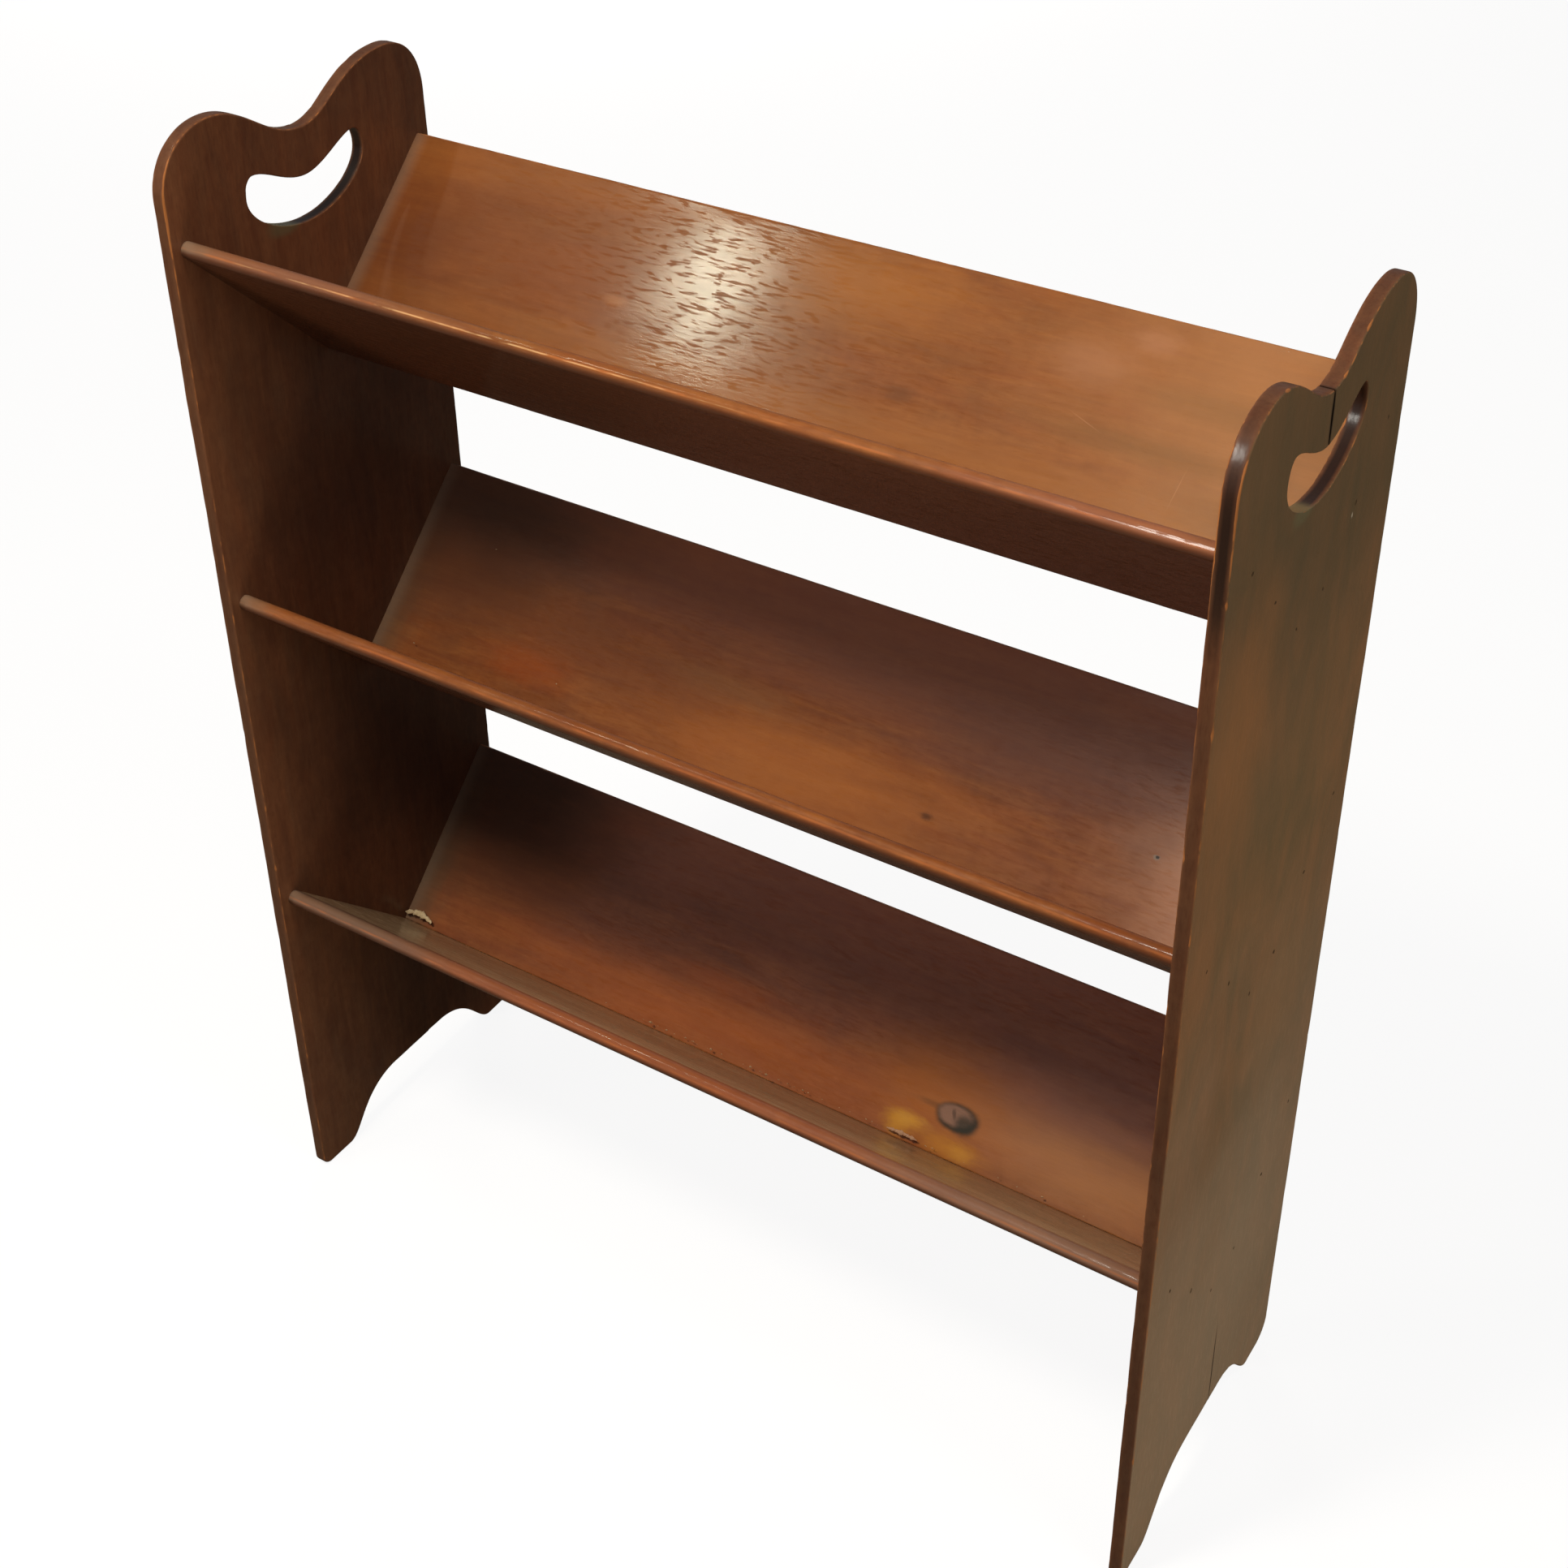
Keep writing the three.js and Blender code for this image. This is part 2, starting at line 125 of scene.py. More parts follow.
def hand_hole():
    """The hand hole's edge, clockwise: a wavy upper edge, two tight ends and one long curve below."""
    half, dip = HOLE_WIDTH / 2, VALLEY[1] - HOLE_STRIP
    tip_height = dip + HOLE_HEIGHT * 0.06
    top, floor = np.array([HOLE_MIDDLE, dip]), np.array([HOLE_MIDDLE, dip - HOLE_HEIGHT])
    peak = np.array([HOLE_MIDDLE - half * 0.86, dip + HOLE_END_RISE])
    back_peak = np.array([HOLE_MIDDLE + half * 0.86, dip + HOLE_END_RISE])
    tip, back_tip = np.array([HOLE_MIDDLE - half, tip_height]), np.array([HOLE_MIDDLE + half, tip_height])
    return np.vstack([
        wave(top, peak, 0.39, 0.26), quarter(peak, tip, 0.66, 0.56, False),
        quarter(tip, floor, 0.5, 0.5, True), quarter(floor, back_tip, 0.5, 0.5, False),
        quarter(back_tip, back_peak, 0.56, 0.66, True), wave(back_peak, top, 0.26, 0.39),
    ])[::-1]


def ripple(along, seed, longest, shortest, waves=9):
    """Uneven line between about -1 and 1: a sum of sines, with wavelengths in even ratios from longest to
    shortest, phases drawn from the seed, and heights that go with the square root of the wavelength."""
    phases = np.random.default_rng(seed).uniform(0, 2 * np.pi, waves)
    lengths = np.geomspace(longest, shortest, waves)
    heights = np.sqrt(lengths / lengths.sum() / 2)
    angles = 2 * np.pi * np.asarray(along)[..., None] / lengths + phases
    return (np.sin(angles) * heights).sum(-1) * 1.6


def bruises(along, seed, count, extent, widths):
    """Small dips between 0 and 1 along an edge: Gaussian bumps at places, widths and depths drawn from the
    seed, of which the deepest holds where two meet."""
    draw = np.random.default_rng(seed)
    places = draw.uniform(*extent, count)
    spread = draw.uniform(*widths, count)
    depths = draw.uniform(0.3, 1, count) ** 1.5
    dips = depths * np.exp(-(((np.asarray(along)[..., None] - places) / spread) ** 2))
    return dips.max(-1)


def joint_y(height, half, cracked):
    """Where one board's glued edge lies at a height: on the joint's slanting line, or back from it by half
    the crack. The crack is widest above the hand hole, uneven, and a hair at the foot."""
    height = np.asarray(height, float)
    rise = (height - ARCH_HEIGHT) / (VALLEY[1] - ARCH_HEIGHT)
    line = FRONT_Y + END_DEPTH * (JOINT_FOOT_SHARE + (JOINT_TOP_SHARE - JOINT_FOOT_SHARE) * rise)
    hole_floor = VALLEY[1] - HOLE_STRIP - HOLE_HEIGHT
    open_width = CRACK_WIDTH * (0.75 + 0.3 * ripple(height, 4 + half, 0.03, 0.004))
    foot_width = FOOT_CRACK_WIDTH * np.clip(1 - height / FOOT_CRACK_HEIGHT, 0, 1)
    width = np.where(height > hole_floor + HOLE_HEIGHT / 2, open_width, foot_width)
    return line + half * width / 2 * cracked


def run_of(loop, half, cracked):
    """The unbroken stretch of a closed loop on one side of the joint, -1 before it and 1 behind it. The two
    crossing points are found on the straight line between the loop points on either side, and points next to
    them are dropped."""
    beyond = (loop[:, 0] - joint_y(loop[:, 1], half, cracked)) * half
    inside = beyond > 0
    start = int(np.flatnonzero(inside & ~np.roll(inside, 1))[0])
    loop, beyond, inside = (np.roll(a, -start, axis=0) for a in (loop, beyond, inside))
    length = int(inside.sum())

    def crossing(i, j):
        share = beyond[i] / (beyond[i] - beyond[j])
        return loop[i] + share * (loop[j] - loop[i])

    first, final = crossing(0, -1), crossing(length - 1, length % len(loop))
    spare = [np.linalg.norm(loop[:length] - end, axis=1) > CROSSING_GAP for end in (first, final)]
    return np.vstack([first, loop[:length][spare[0] & spare[1]], final])


def inward(loop):
    """Unit normals to the left of a line of points: the mean of the two neighbouring stretches' normals."""
    steps = np.diff(loop, axis=0)
    steps /= np.linalg.norm(steps, axis=1)[:, None]
    mean = np.vstack([steps[:1], steps[:-1] + steps[1:], steps[-1:]])
    mean /= np.linalg.norm(mean, axis=1)[:, None]
    return np.stack([-mean[:, 1], mean[:, 0]], 1)


def skin(name, stacks, flip=False):
    """Mesh of one or more closed stacks of rings: quads between neighbouring rings, and one flat face over
    the first ring and one over the last. Rings run towards +X with their points anticlockwise seen from
    there, so faces point outwards; flip turns them round for a mirrored piece."""
    number, rings, around = stacks.shape[:3]
    start = np.arange(number)[:, None, None] * rings * around
    ring = start + np.arange(rings - 1)[:, None] * around
    low, following = ring + np.arange(around), ring + np.roll(np.arange(around), -1)
    quads = np.stack([low, following, following + around, low + around], -1).reshape(-1, 4)
    ends = [start[:, 0] + np.arange(around)[::-1], start[:, 0] + (rings - 1) * around + np.arange(around)]
    faces = [face for part in (quads, *ends) for face in (part[:, ::-1] if flip else part).tolist()]
    mesh = bpy.data.meshes.new(name)
    mesh.from_pydata(stacks.reshape(-1, 3).tolist(), [], faces)
    mesh.shade_smooth()
    mesh.set_sharp_from_angle(angle=np.radians(38))
    piece = bpy.data.objects.new(name, mesh)
    bpy.context.scene.collection.objects.link(piece)
    return piece


def carry(piece, label, values):
    """Stores one number or one vector for each vertex, under a label that the piece's material reads."""
    values = np.ascontiguousarray(values, np.float32)
    kind, field = ("FLOAT_VECTOR", "vector") if values.ndim == 3 else ("FLOAT", "value")
    layer = piece.data.attributes.new(label, kind, "POINT")
    layer.data.foreach_set(field, values.ravel())


def end_board(name, side, half, cracked, seed):
    """One board of an end. Its outline is a run of the outer edge, a straight joint, a run of the hand hole's
    edge and a straight joint again. Rows of that outline go through the thickness: in from the face by the
    arris's radius r, then round by r(1 - sin) in the plane and r(1 - cos) in depth, and the same at the
    other face. The arris wears unevenly, most at the front lobe's shoulder, and holds a few bruises."""
    outer, hole = run_of(end_outline(), half, cracked), run_of(hand_hole(), half, cracked)
    heights = [straight(a, b)[1:, 1] for a, b in ((outer[-1], hole[0]), (hole[-1], outer[0]))]
    joints = [np.stack([joint_y(h, half, cracked), h], 1) for h in heights]
    loop = np.vstack([outer, joints[0], hole, joints[1]])
    still = [np.zeros_like(joint) for joint in joints]
    lean = np.vstack([inward(outer), still[0], inward(hole), still[1]])
    radius = np.concatenate([np.full(len(run), size) for run, size in
                             ((outer, EDGE_ARRIS), (joints[0], 0), (hole, HOLE_ARRIS), (joints[1], 0))])
    support = inward(np.vstack([loop[-1:], loop, loop[:1]]))[1:-1]
    travelled = np.cumsum(np.linalg.norm(np.diff(loop, axis=0, prepend=loop[-1:]), axis=1))
    shoulder = np.exp(-(((loop[:, 1] - SHOULDER) / SHOULDER_HALF) ** 2))
    shoulder *= loop[:, 0] < FRONT_Y + SHOULDER_REACH
    soft = radius * (1 + 0.3 * shoulder + 0.25 * ripple(travelled, seed, 0.3, 0.02))

    turns = np.linspace(0, np.pi / 2, 7)
    rows, wear = [], []
    for face in (0, 1):
        dip = bruises(travelled, seed + 1 + face, EDGE_BRUISES, (0, travelled[-1]), BRUISE_WIDTHS)
        worn = soft + BRUISE_DEPTH * dip * (radius > 0)
        inset = np.vstack([worn, worn * (1 - np.sin(turns))[:, None]])
        depth = np.vstack([0 * worn, worn * (1 - np.cos(turns))[:, None]])
        plane = loop + inset[..., None] * lean
        plane[0] += FACE_MARGIN * support
        rubbed = np.concatenate([[0], np.sin(2 * turns)])[:, None] * (0.5 + 0.5 * dip + 0.5 * shoulder)
        order = slice(None) if face == 0 else slice(None, None, -1)
        x = INNER_X + depth if face == 0 else FACE_X - depth
        rows.append(np.dstack([x, plane])[order])
        wear.append((rubbed * (radius > 0))[order])
    middle = np.linspace(0, 1, 5)[1:-1, None, None]
    between = rows[0][-1] + middle * (rows[1][0] - rows[0][-1])
    surface = np.vstack([rows[0], between, rows[1]])
    piece = skin(name, (surface * [side, 1, 1])[None], flip=side < 0)
    carry(piece, "grain", np.dstack([surface[..., 2], surface[..., 1], surface[..., 0]]))
    carry(piece, "wear", np.vstack([wear[0], np.zeros(between.shape[:2]), wear[1]]))
    # On the right end a stretch of the front lobe's edge is painted almost black: a painted dark reflection
    # of the room in its polish.
    dark_reflection = np.exp(-(((loop[:, 1] - DARK_REFLECTION) / DARK_REFLECTION_HALF) ** 4))
    dark_reflection *= (loop[:, 0] < FRONT_Y + DARK_REFLECTION_REACH) * (side > 0)
    soaking_and_reflection = np.concatenate([np.full(len(run), share) for run, share in
                             ((outer, 0.4), (joints[0], 1), (hole, 1), (joints[1], 1))]) + 0.6 * dark_reflection
    sawn = np.clip((SAWN_HALF - abs(surface[..., 0] - (INNER_X + FACE_X) / 2)) / SAWN_BLUR, 0, 1)
    carry(piece, "sawn", sawn * soaking_and_reflection)
    return piece


def linear(hex_colour):
    """An sRGB hex colour as linear RGBA: c / 12.92 up to 0.04045, and ((c + 0.055) / 1.055) ^ 2.4 above."""
    parts = np.array([int(hex_colour[i:i + 2], 16) for i in (1, 3, 5)]) / 255
    low, high = parts / 12.92, ((parts + 0.055) / 1.055) ** 2.4
    return (*np.where(parts <= 0.04045, low, high).tolist(), 1.0)


def add_node(tree, kind, inputs=(), **settings):
    """Adds one shader node, sets its options, and gives each input a value or another node's output."""
    made = tree.nodes.new("ShaderNode" + kind)
    for option, value in settings.items():
        setattr(made, option, value)
    for socket, value in dict(inputs).items():
        if isinstance(value, bpy.types.NodeSocket):
            tree.links.new(value, made.inputs[socket])
        else:
            made.inputs[socket].default_value = value
    return made


def emptied(owner):
    """The node tree of a material or a world, with nothing in it."""
    owner.use_nodes = True
    owner.node_tree.nodes.clear()
    return owner.node_tree


def stained_wood(name, seed, dark, mid, light, haze, dull=0.5):
    """Starts a French-polished, stained hardwood, read in the board's own coordinates: along the grain,
    across it and into it. What the eye gets from the real one: stain clouds about 120 mm long and 40 mm wide,
    greyer haze in the polish, wavy figure 10 mm wide, growth lines, mottling, fine fibre, and open pores.
    Pores are really 0.2 mm wide and the polish's worn dashes about 0.5 mm. They are drawn 0.8 and 2 mm wide,
    or no render would show them."""
    material = bpy.data.materials.new(name)
    tree = emptied(material)
    grain = add_node(tree, "Attribute", attribute_name="grain").outputs["Vector"]
    offset = np.random.default_rng(seed).uniform(-40, 40, 3).tolist()

    def fibres(along_mm, across_mm, detail, contrast, distortion=0.0):
        """Noise drawn out along the grain, one blotch of the given length and width, pulled to 0 and 1."""
        scale = (1 / (along_mm * MM), 1 / (across_mm * MM), 1 / (across_mm * MM))
        placed = add_node(tree, "Mapping", {"Vector": grain, "Scale": scale, "Location": offset})
        noise = add_node(tree, "TexNoise", {"Vector": placed.outputs[0], "Scale": 1.0, "Detail": detail,
                                            "Distortion": distortion})
        return add_node(tree, "MapRange", {"Value": noise.outputs["Fac"], "From Min": 0.5 - contrast,
                                           "From Max": 0.5 + contrast}).outputs[0]

    def blend(share, first, second):
        return add_node(tree, "MixRGB", {"Fac": share, "Color1": first, "Color2": second}).outputs[0]

    def scaled(value, low, high):
        return add_node(tree, "MapRange", {"Value": value, "To Min": low, "To Max": high}).outputs[0]

    def total(*terms):
        summed = terms[0]
        for term in terms[1:]:
            summed = add_node(tree, "Math", {0: summed, 1: term}, operation="ADD").outputs[0]
        return summed

    clouds, hazy = fibres(120, 40, 4.0, 0.2, 1.0), fibres(80, 24, 5.0, 0.16, 1.4)
    figure, growth = fibres(75, 10, 4.0, 0.2, 1.0), fibres(230, 3.2, 3.0, 0.24, 0.4)
    fibre, mottle = fibres(20, 1.5, 2.0, 0.25), fibres(9, 4.5, 3.0, 0.2, 0.6)
    chatter, pores = fibres(8, 24, 2.0, 0.25, 0.4), fibres(5.5, 0.8, 1.0, 0.3)
    dashes = add_node(tree, "MapRange", {"Value": fibres(12, 2.0, 2.0, 0.15), "From Min": 0.1,
                                         "From Max": 0.35}).outputs[0]
    pits = add_node(tree, "MapRange", {"Value": pores, "From Min": 0.2, "From Max": 0.0}).outputs[0]
    colour = blend(clouds, linear(dark), linear(mid))
    colour = blend(scaled(figure, 0, 0.7), colour, linear(light))
    colour = blend(scaled(hazy, 0, 0.34), colour, linear(haze))
    colour = blend(scaled(growth, 0.16, 0), colour, linear(dark))
    colour = blend(scaled(fibre, 0.26, 0), colour, linear(dark))
    colour = blend(scaled(mottle, 0.3, 0), colour, linear(dark))
    colour = blend(scaled(chatter, 0, 0.14), colour, linear(light))
    colour = blend(scaled(pits, 0, 0.4), colour, linear(dark))
    colour = blend(scaled(dashes, 0.22, 0), colour, linear(dark))

    rough = total(scaled(clouds, dull + 0.05, dull - 0.04), scaled(mottle, 0.04, -0.03),
                  scaled(pits, 0, 0.15))
    sway = add_node(tree, "Bump", {"Height": fibres(60, 34, 1.0, 0.45), "Strength": 0.06,
                                   "Distance": 0.5 * MM}).outputs[0]
    height = total(scaled(fibres(13, 2.4, 1.0, 0.3), 0, 1.0), scaled(fibre, 0, 0.4), scaled(mottle, 0, 0.5),
                   scaled(pits, 0, -1.0))
    normal = add_node(tree, "Bump", {"Height": height, "Strength": 0.5, "Distance": 0.1 * MM,
                                     "Normal": sway}).outputs[0]
    film_height = total(scaled(fibres(24, 2.4, 1.0, 0.3), 0, 0.85), scaled(dashes, 0, 0.45))
    smooth = add_node(tree, "Bump", {"Height": film_height, "Strength": 0.26,
                                     "Distance": 0.1 * MM, "Normal": sway}).outputs[0]
    return SimpleNamespace(material=material, tree=tree, grain=grain, colour=colour, rough=rough,
                           normal=normal, film=scaled(dashes, 0.1, 1), smooth=smooth,
                           fibres=fibres, blend=blend, scaled=scaled, total=total)


def oval(wood, place, half, fade=0.9, wobble=0.7, turn=0, broken=0):
    """Mask of an oval on the board. Its middle and half sizes are in mm along the grain, across it and, where
    it doesn't go right through, into it; turn is in degrees. The distance from the middle, in half sizes and
    moved about by noise, fades from 1 inside to 0 outside, and noise of the broken length leaves gaps."""
    middle, size = (*place, 0)[:3], (*half, 1e6)[:3]
    placed = add_node(wood.tree, "Mapping", {
        "Vector": wood.grain, "Location": [MM * v for v in middle], "Scale": [MM * v for v in size],
        "Rotation": (0, 0, np.radians(turn))}, vector_type="TEXTURE")
    noise = add_node(wood.tree, "TexNoise", {"Vector": placed.outputs[0], "Scale": 1.4, "Detail": 5.0})
    moved = add_node(wood.tree, "MixRGB", {"Fac": wobble, "Color1": placed.outputs[0],
                                           "Color2": noise.outputs["Color"]}, blend_type="LINEAR_LIGHT")
    away = add_node(wood.tree, "VectorMath", {0: moved.outputs[0]}, operation="LENGTH").outputs["Value"]
    mask = add_node(wood.tree, "MapRange", {"Value": away, "From Min": 1 + fade, "From Max": 1 - fade},
                    interpolation_type="SMOOTHSTEP").outputs[0]
    if not broken:
        return mask
    gaps = wood.fibres(broken, broken / 4, 3.0, 0.09)
    return add_node(wood.tree, "Math", {0: mask, 1: gaps}, operation="MULTIPLY").outputs[0]


def stain(wood, place, half, tone, strength, **shape):
    """Blends a tone into the wood's colour over an oval, for stains, dust and marks, and for painted light
    and shade.
    """
    mask = oval(wood, place, half, **shape)
    wood.colour = wood.blend(wood.scaled(mask, 0, strength), wood.colour, linear(tone))


def worn_edges(wood, bare, amount):
    """Where the arrises have rubbed through the stain: the edge's own wear number against patchy noise."""
    wear = add_node(wood.tree, "Attribute", attribute_name="wear").outputs["Fac"]
    patchy = wood.scaled(wood.fibres(14, 5, 4.0, 0.14), 0.5, 1.05)
    rubbed = add_node(wood.tree, "Math", {0: wear, 1: patchy}, operation="MULTIPLY").outputs[0]
    line = add_node(wood.tree, "MapRange", {"Value": rubbed, "From Min": 0.36, "From Max": 0.54}).outputs[0]
    wood.colour = wood.blend(wood.scaled(line, 0, amount), wood.colour, linear(bare))


def polished(wood, coat, coat_rough):
    """Ends a wood's nodes in its shader. Shellac's IOR is near 1.5. Over the dull stained wood lies a thin
    smooth film of it, worn away in short dashes along the grain."""
    shader = add_node(wood.tree, "BsdfPrincipled", {
        "Base Color": wood.colour, "Roughness": wood.rough, "Normal": wood.normal, "IOR": 1.45,
        "Coat Weight": wood.scaled(wood.film, 0, coat), "Coat Roughness": coat_rough,
        "Coat Normal": wood.smooth})
    add_node(wood.tree, "OutputMaterial", {"Surface": shader.outputs[0]})
    return wood.material


# Stains on the ends' outer faces, two of which are painted light: (height, depth) of the middle, half sizes
# in mm, tone and strength.
# The first mark (dark olive over the top) and the sixth (pale and grey over the lower part) are painted
# light: the face is painted darker above and lighter below, as if light from the floor falls on it.
END_STAINS_AND_PAINTED_LIGHT = (((860, 0), (150, 240), "#4c4632", 0.6), ((715, -90), (80, 42), "#a06c40", 0.5),
              ((590, 10), (90, 80), "#7f6a48", 0.3), ((420, 40), (60, 50), "#977551", 0.35),
              ((330, -95), (120, 30), "#8d6f55", 0.4), ((120, 0), (240, 300), "#aa9880", 0.55),
              ((320, -145), (7, 3), "#3b2a1c", 0.8), ((324, -136), (4, 2), "#3b2a1c", 0.6),
              ((785.5, 61), (1.5, 0.8), "#d8cdb8", 0.8))
# Painted shade on their inner faces: dark patches behind the troughs, where the troughs shade them.
INNER_PAINTED_SHADE = (((610, 10), (70, 60), "#2c160c", 0.5), ((364, 10), (80, 70), "#2a150b", 0.55),
         ((300, 90), (70, 50), "#2a150b", 0.4))
for side_name, side in (("right", 1), ("left", -1)):
    for board, half in (("front", -1), ("back", 1)):
        piece = end_board(f"{side_name}_end_{board}", side, half, side > 0, 10 * (side + 2) + half)
        # Both boards of an end read one pattern, as they were stained and polished together.
        wood = stained_wood(f"stained_end_board_{side_name}_{board}", 10 * (side + 2), "#5c3422", "#804f32",
                            "#90603e", "#5d4a38", dull=0.55)
        # The outer faces have faded: the stain is thinner and greyer there than on the inner faces.
        depth = add_node(wood.tree, "SeparateXYZ", {0: wood.grain}).outputs[2]
        outside = add_node(wood.tree, "MapRange", {"Value": depth, "From Min": FACE_X - 1.2 * MM,
                                                   "From Max": FACE_X - 0.2 * MM}).outputs[0]
        # Painted shade behind the troughs.
        for mark in INNER_PAINTED_SHADE:
            stain(wood, *mark)
        inner_colour = wood.colour
        tint = wood.blend(wood.fibres(110, 45, 5.0, 0.16, 1.2), linear("#7d6748"), linear("#99714c"))
        wood.colour = wood.blend(0.72, wood.colour, tint)
        # Stains and painted light on the outer faces.
        for mark in END_STAINS_AND_PAINTED_LIGHT:
            stain(wood, *mark)
        wood.colour = wood.blend(outside, inner_colour, wood.colour)
        # The sawn edges soaked up more stain, and the hand hole's wall and the open joint are almost black.
        # On the right end a stretch of the front lobe's edge is also painted almost black, as a painted dark
        # reflection of the room. At the hole's front end a pale olive patch is painted light on the wall.
        sawn = add_node(wood.tree, "Attribute", attribute_name="sawn").outputs["Fac"]
        wood.colour = wood.blend(wood.scaled(sawn, 0, 0.93), wood.colour, linear("#1d0e08"))
        wood.film = wood.total(wood.scaled(wood.film, 0, 0.5), sawn)
        # A pale olive patch on the wall at the hole's front end: painted light.
        tip = np.array([VALLEY[1] - HOLE_STRIP - 26 * MM, HOLE_MIDDLE - 26 * MM]) / MM
        stain(wood, tuple(tip.tolist()), (9, 16), "#6a6448", 0.75, fade=0.4, wobble=0.2)
        if side > 0:
            # Dirt on the lips of the open joint, above the hand hole and at the foot.
            for height, reach, width in ((VALLEY[1] - HOLE_STRIP / 2, 21, 2.2), (84 * MM, 42, 0.9)):
                lips = (height / MM, float(joint_y(height, 0, 0)) / MM)
                stain(wood, lips, (reach, width), "#1c130c", 0.88, fade=0.4, wobble=0.08, turn=-1)
        worn_edges(wood, "#b06f3c", 0.9)
        piece.data.materials.append(polished(wood, 0.6, 0.2))
        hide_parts(f"{side_name}_end_{board}_board")
        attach(piece, "root")

# The three troughs. Each is a V of two boards 11.3 mm thick with the grain along their length: a front board
# with a rounded nose, and a square-edged back board that stands on the front board's inner face. They have
# the ends' stain and polish, and the polish is brighter here.
BOARD_THICKNESS = 11.3 * MM
FRONT_SLOPE, BACK_SLOPE = np.radians(44.5), np.radians(43.5)
TIERS = ("bottom", "middle", "top")
BOARD_LENGTH = 2 * INNER_X
ROW_PITCH = 4 * MM
FRONT_RADII = [5.4 * MM, 5.4 * MM, 1 * MM, 0.4 * MM]  # nose, nose, keel, under the back board's foot
BACK_RADII = [0.8 * MM, 0.3 * MM, 1.3 * MM, 1.5 * MM]  # crease, foot, outer and inner top edge
KNOCKS, KNOCK_WIDTHS, KNOCK_DEPTH = 26, (1.5 * MM, 5 * MM), 0.35 * MM
ARRIS_WEAR, PLANING_DEPTH, TIGHT_RADIUS = 0.25 * MM, 0.04 * MM, 1.6 * MM


def direction(angle):
    """Unit vector in the section, Y across and Z up, at an angle over the level."""
    return np.array([np.cos(angle), np.sin(angle)])


def meet(a, u, b, v):
    """Where the line through a along u meets the line through b along v."""
    return a + u * np.linalg.solve(np.stack([u, -v], 1), b - a)[0]


def rounded_section(corners, radii, spacing=9 * MM, steps=7):
    """A closed section: each corner becomes an arc that leaves both its edges at a tangent, r tan(turn / 2)
    from the corner, with straight stretches between. Gives points, outward normals and, for each point, how
    much it belongs to an arris, from 0 on the flat to 1 at the middle of a tight arc."""
    corners = np.array(corners)
    ahead = np.roll(corners, -1, 0) - corners
    ahead /= np.linalg.norm(ahead, axis=1)[:, None]
    behind = np.roll(ahead, 1, 0)
    bend = np.arctan2(behind[:, 0] * ahead[:, 1] - behind[:, 1] * ahead[:, 0], (behind * ahead).sum(1))
    trim = np.array(radii) * np.tan(bend / 2)
    first = corners - behind * trim[:, None]
    last = corners + ahead * trim[:, None]
    points, normals, arris = [], [], []
    for k, radius in enumerate(radii):
        out = np.array([behind[k][1], -behind[k][0]])
        turned = np.linspace(0, bend[k], steps)[:, None]
        swing = np.cos(turned) * out + np.sin(turned) * behind[k]
        points.append(first[k] + radius * (swing - out))
        normals.append(swing)
        arris.append(np.sin(np.pi * np.linspace(0, 1, steps)) * min(1, TIGHT_RADIUS / radius))
        stop = first[(k + 1) % len(radii)]
        length = np.linalg.norm(stop - last[k])
        edge = min(FACE_MARGIN / length, 0.25)
        inner = np.linspace(edge, 1 - edge, max(2, int(length / spacing)))
        points.append(last[k] + inner[:, None] * (stop - last[k]))
        flat_out = np.array([ahead[k][1], -ahead[k][0]])
        normals.append(np.repeat(flat_out[None], len(inner), 0))
        arris.append(np.zeros(len(inner)))
    return np.vstack(points), np.vstack(normals), np.concatenate(arris)


def trough_board(name, corners, radii, origin, axis, seed):
    """A board along X: the rounded section repeated every few millimetres, its arrises worn back unevenly by
    up to half a millimetre and its faces waving by a few hundredths, as hand-planed boards do."""
    points, normals, arris = rounded_section(corners, radii)
    along = np.linspace(-BOARD_LENGTH / 2, BOARD_LENGTH / 2, int(BOARD_LENGTH / ROW_PITCH))
    around = np.cumsum(np.linalg.norm(np.diff(points, axis=0, prepend=points[-1:]), axis=1))
    uneven = 0.5 + 0.5 * ripple(along[:, None] + 0.31 * around, seed, 0.25, 0.012)
    knocks = bruises(along[:, None] + 0 * around, seed + 5, KNOCKS, (along[0], along[-1]), KNOCK_WIDTHS)
    planing = ripple(along[:, None] + 0.9 * around, seed + 9, 0.3, 0.06)
    sunk = arris * (ARRIS_WEAR * uneven + KNOCK_DEPTH * knocks) + PLANING_DEPTH * (1 + planing) * (arris == 0)
    section = points - normals * sunk[..., None]
    surface = np.dstack([np.repeat(along[:, None], len(points), 1), section])
    across = (section - origin) @ axis
    depth = (section - origin) @ np.array([-axis[1], axis[0]])
    piece = skin(name, surface[None])
    carry(piece, "grain", np.dstack([surface[..., 0], across, depth]))
    carry(piece, "wear", arris * np.clip(0.45 + 0.4 * uneven + knocks, 0, 1))
    return piece
